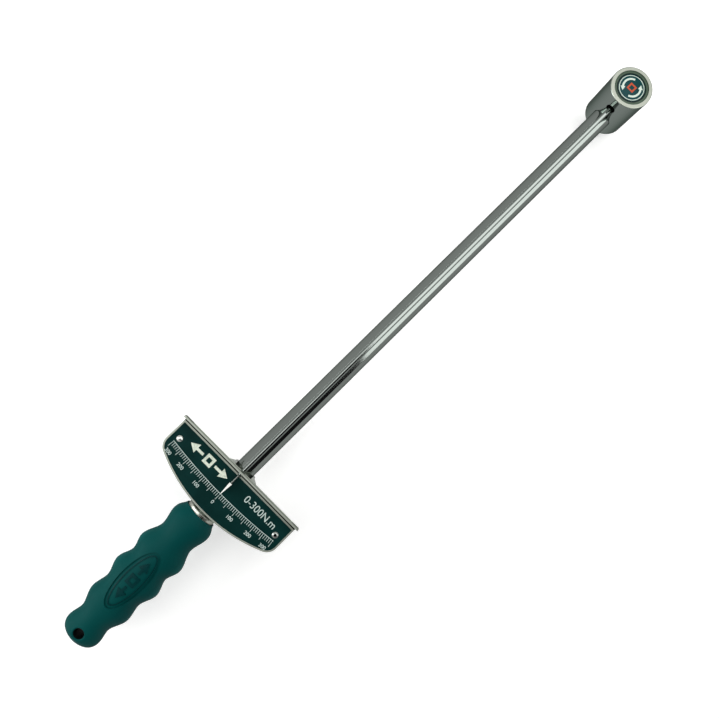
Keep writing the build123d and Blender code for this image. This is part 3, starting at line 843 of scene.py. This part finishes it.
badge_red = patchy_print(
    "red_orange_print_under_resin", "B2452C", "C85A38", patch_mm=0.8, detail=2.0, low=0.0,
    high=1.0, Roughness=0.2, Specular_IOR_Level=0.15)

bm = bmesh.new()
ring(bm, on_badge(math.pi / 4, 0), SQUARE_LINE, 4, SQUARE_ACROSS / math.sqrt(2))
print_on_badge("badge_square", bm, badge_red)

# %% [markdown]
# The sunk oval panel on the grip carries moulded relief: a thin oval line and the same two-way
# mark. The mould was polished there, so the relief is glossier and looks darker than the pebble.
# The panel's place is found by walking along the top of the grip with rays and looking for the
# two steps where the surface drops and rises again. The grip's end with the hanging hole is left
# out of that search.

# %% Find the panel
RAY_STEP = 0.1 * MM
LEAST_STEP = 0.4 * MM
LARGEST_STEP = 2 * MM
HOLE_END = 20 * MM
SIDE_WALK = 14 * MM


def steps_along(places):
    """Places where the grip's top steps up or down from one ray to the next."""
    found = []
    heights = [top_of("grip", x, y) for x, y in places]
    for before, after, place in zip(heights, heights[1:], places[1:]):
        if None not in (before, after) and LEAST_STEP < abs(after - before) < LARGEST_STEP:
            found.append(place)
    return found


ray_count = int((grip_high.x - grip_low.x) / RAY_STEP)
walk = [(grip_high.x - index * RAY_STEP, 0.0) for index in range(ray_count)]
edges_x = [x for x, _ in steps_along(walk)]
panel_front, panel_back = max(edges_x), min(x for x in edges_x if x > grip_low.x + HOLE_END)
panel_x = (panel_front + panel_back) / 2
across = [(panel_x, index * RAY_STEP) for index in range(int(SIDE_WALK / RAY_STEP))]
panel_half_width = steps_along(across)[0][1]
panel_half_length = (panel_front - panel_back) / 2
print("panel middle", round(panel_x / MM, 1), "half size",
    round(panel_half_length / MM, 1), round(panel_half_width / MM, 1))

# %% Panel relief
RELIEF = 0.5 * MM
RELIEF_SUNK = 0.05 * MM
RELIEF_CUTS = 3
OVAL_INSET = 1.9 * MM
OVAL_LINE = 0.6 * MM
OVAL_CORNERS = 96
PANEL_MARK_LENGTH = 27 * MM
PANEL_MARK_HEIGHT = 6.4 * MM
PANEL_MARK_LINE = 1.6 * MM
SMEAR_MM = 4

relief_plastic, tree, shader, place = new_material(
    "polished_relief_in_the_mould", Specular_IOR_Level=0.07)
smear = add_node(tree, "ShaderNodeTexNoise", {
    "Vector": place, "Scale": per_metre(SMEAR_MM), "Detail": 2.0})
tone = add_node(tree, "ShaderNodeMix", {
    SHARE: smear, TONE_A: colour("002B2C"), TONE_B: colour("013435")}, data_type="RGBA")
haze = add_node(tree, "ShaderNodeMapRange", {
    "Value": smear, "From Min": 0.3, "From Max": 0.7, "To Min": 0.38, "To Max": 0.5})
fill(tree, shader, {"Base Color": tone.outputs[TONE], "Roughness": haze})

bm = bmesh.new()
middle = Matrix.Translation((panel_x, 0, 0))
half_length = panel_half_length - OVAL_INSET
half_width = panel_half_width - OVAL_INSET
oval = middle @ Matrix.Diagonal((half_length, half_width, 1, 1))
ring(bm, oval, OVAL_LINE, OVAL_CORNERS)
two_way_mark(bm, middle @ Matrix.Rotation(math.pi / 2, 4, "Z"),
    PANEL_MARK_LENGTH, PANEL_MARK_HEIGHT, PANEL_MARK_LINE)
bmesh.ops.triangulate(bm, faces=bm.faces[:])
bmesh.ops.subdivide_edges(bm, edges=bm.edges[:], cuts=RELIEF_CUTS, use_grid_fill=True)
laid_on(bm, "grip", RELIEF_SUNK)
raised(bm, RELIEF + RELIEF_SUNK)
finished("grip_panel_relief", bm, relief_plastic)

# %% [markdown]
# The studio. A torque wrench is nearly all mirror, so the room decides its looks more than its
# materials do. A white paper floor gives the white background, and the metal mirrors that paper
# too. It lies a hair under the square drive's end, on which the wrench stands.

# %% Floor
FLOOR_HALF_SIZE = 2.0
FLOOR_GAP = 0.1 * MM
FIBRE_MM = 1.5
FIBRE_DEPTH = 0.01 * MM

paper, tree, shader, place = new_material(
    "white_studio_paper", Roughness=0.9, Specular_IOR_Level=0.1)
fibres = add_node(tree, "ShaderNodeTexNoise", {
    "Vector": place, "Scale": per_metre(FIBRE_MM), "Detail": 2.0})
tone = add_node(tree, "ShaderNodeMix", {
    SHARE: fibres, TONE_A: colour("F2F2F1"), TONE_B: colour("F6F6F5")}, data_type="RGBA")
relief = add_node(tree, "ShaderNodeBump", {"Height": fibres, "Distance": FIBRE_DEPTH})
fill(tree, shader, {"Base Color": tone.outputs[TONE], "Normal": relief})

bm = bmesh.new()
middle = (cad_low + cad_high) / 2
bmesh.ops.create_grid(bm, x_segments=1, y_segments=1, size=FLOOR_HALF_SIZE,
    matrix=Matrix.Translation((middle.x, 0, cad_low.z - FLOOR_GAP)))
floor = object_of("floor", bm, paper)

# %% [markdown]
# The paper's shadow side would print grey, so the floor also glows a little, but only for rays
# that come from the camera, a mirror or clear material. The glow lights nothing, and the shadow
# stays.

# %% Floor glow
FLOOR_GLOW = 0.32

rays = add_node(tree, "ShaderNodeLightPath").outputs
seen = add_node(tree, "ShaderNodeMath", {
    0: rays["Is Camera Ray"], 1: rays["Is Glossy Ray"]}, operation="MAXIMUM")
seen = add_node(tree, "ShaderNodeMath", {
    0: seen, 1: rays["Is Transmission Ray"]}, operation="MAXIMUM")
strength = add_node(tree, "ShaderNodeMath", {0: seen, 1: FLOOR_GLOW}, operation="MULTIPLY")
fill(tree, shader, {"Emission Color": colour("FFFFFF"), "Emission Strength": strength})

# %% [markdown]
# Four curved cards hang round the beam's axis. A wide softbox spans the head's half of the beam.
# Over the handle's half a narrow softbox hangs on the +Y side and a black flag over the top and
# the -Y side. The flag makes the two black lines that run from the plate to the middle of the
# beam. A bright, low softbox on the +Y side, beyond the grip's end, lights the grip's flank.
# Spinning a straight edge about the beam's axis makes each card.

# %% Curved cards round the beam
CARD_RADIUS = 0.9
CARD_EDGE_X = -0.128
CARD_STEPS = 24
SOFTBOX_LIGHT = 2.05
GRIP_LIGHT = 4.5
FLAG_LIGHT = 0.01


def hang(name, bm, light):
    """Makes a glowing card of a bmesh, out of the camera's sight."""
    material = bpy.data.materials.new(name)
    material.use_nodes = True
    tree = material.node_tree
    tree.nodes.clear()
    glow = add_node(tree, "ShaderNodeEmission", {"Color": colour("FFFFFF"), "Strength": light})
    add_node(tree, "ShaderNodeOutputMaterial", {"Surface": glow})
    hung = object_of(name, bm, material)
    hung.visible_camera = False
    print(name, "glows", light)
    return hung


def card(name, x_from, x_to, angle_from, angle_to, light):
    """Part of a tube round the beam's axis. Angles are from straight up, towards -Y."""
    bm = bmesh.new()
    ends = [bm.verts.new((x, 0, beam_z + CARD_RADIUS)) for x in (x_from, x_to)]
    line = bm.edges.new(ends)
    axis_point = (0, 0, beam_z)
    turn = Matrix.Rotation(math.radians(angle_from), 4, "X")
    bmesh.ops.rotate(bm, cent=axis_point, matrix=turn, verts=ends)
    bmesh.ops.spin(bm, geom=[*ends, line], cent=axis_point, axis=(1, 0, 0),
        angle=math.radians(angle_to - angle_from), steps=CARD_STEPS)
    hang(name, bm, light)


card("softbox_over_head", x_from=CARD_EDGE_X, x_to=0.69,
    angle_from=-31, angle_to=67, light=SOFTBOX_LIGHT)
card("softbox_beside_handle", x_from=-0.9, x_to=CARD_EDGE_X,
    angle_from=-31, angle_to=-8, light=SOFTBOX_LIGHT)
card("softbox_beside_grip", x_from=-1.4, x_to=-0.56,
    angle_from=-85, angle_to=-37, light=GRIP_LIGHT)
card("black_flag", x_from=-0.9, x_to=CARD_EDGE_X,
    angle_from=-2, angle_to=68, light=FLAG_LIGHT)

# %% [markdown]
# A bar lying on white paper mirrors that paper along both its edges, and then looks thin and pale.
# Photographers lay grey card along the bar to give its edges their weight. Here the card is a
# shallow tray that only mirrors see: it lights nothing, shades nothing and the camera misses it.
# Its profile is a row of edges, extruded once along the beam.

# %% Grey tray for the mirrors
TRAY_HALF_WIDTH = 72 * MM
TRAY_WALL = 50 * MM
TRAY_LIFT = 0.2 * MM
TRAY_OVERHANG = 40 * MM
TRAY_GREY = 0.48

bm = bmesh.new()
back, front = cad_low.x - TRAY_OVERHANG, cad_high.x + TRAY_OVERHANG
low, high = cad_low.z + TRAY_LIFT, cad_low.z + TRAY_WALL
profile = [(-TRAY_HALF_WIDTH, high), (-TRAY_HALF_WIDTH, low),
    (TRAY_HALF_WIDTH, low), (TRAY_HALF_WIDTH, high)]
corners = [bm.verts.new((back, y, z)) for y, z in profile]
edges = [bm.edges.new(pair) for pair in zip(corners, corners[1:])]
drawn = bmesh.ops.extrude_edge_only(bm, edges=edges)
ends = [item for item in drawn["geom"] if isinstance(item, bmesh.types.BMVert)]
bmesh.ops.translate(bm, verts=ends, vec=(front - back, 0, 0))
tray = hang("grey_tray", bm, TRAY_GREY)
tray.visible_diffuse = False
tray.visible_shadow = False
tray.visible_transmission = False

# %% [markdown]
# The rest of the room is one even light at half strength. It fills the shadows, and the metal
# mirrors it between the cards.

# %% World
ROOM_LIGHT = 0.5

world = bpy.data.worlds.new("grey_room")
bpy.context.scene.world = world
world.use_nodes = True
room = world.node_tree
fill(room, room.nodes["Background"], {"Color": colour("FFFFFF"), "Strength": ROOM_LIGHT})

# %% [markdown]
# The photograph was taken from close above, so the beam tapers. The camera stands 410 mm over the
# beam, looks a little towards the head and is rolled so that the wrench runs corner to corner.

# %% Camera
STAND = Vector((-298.14, -1.34, 441.35)) * MM
LEAN = math.radians(7.117)
ROLL = math.radians(44.645)
LENS_MM = 32.545
SENSOR_MM = 36
NEAREST = 10 * MM
FARTHEST = 20

towards_camera = Vector((-math.sin(LEAN), 0, math.cos(LEAN)))
along_beam = Vector((math.cos(LEAN), 0, math.sin(LEAN)))
across = Vector((0, 1, 0))
right = math.cos(ROLL) * along_beam - math.sin(ROLL) * across
up = math.sin(ROLL) * along_beam + math.cos(ROLL) * across
turned = Matrix((right, up, towards_camera)).transposed()

lens = bpy.data.cameras.new("camera")
lens.lens = LENS_MM
lens.sensor_width = SENSOR_MM
lens.clip_start = NEAREST
lens.clip_end = FARTHEST
camera = bpy.data.objects.new("camera", lens)
camera.matrix_world = Matrix.Translation(STAND) @ turned.to_4x4()
bpy.context.scene.collection.objects.link(camera)
bpy.context.scene.camera = camera
bpy.context.scene.view_settings.view_transform = "Standard"
print("camera at", [round(v, 4) for v in camera.location])
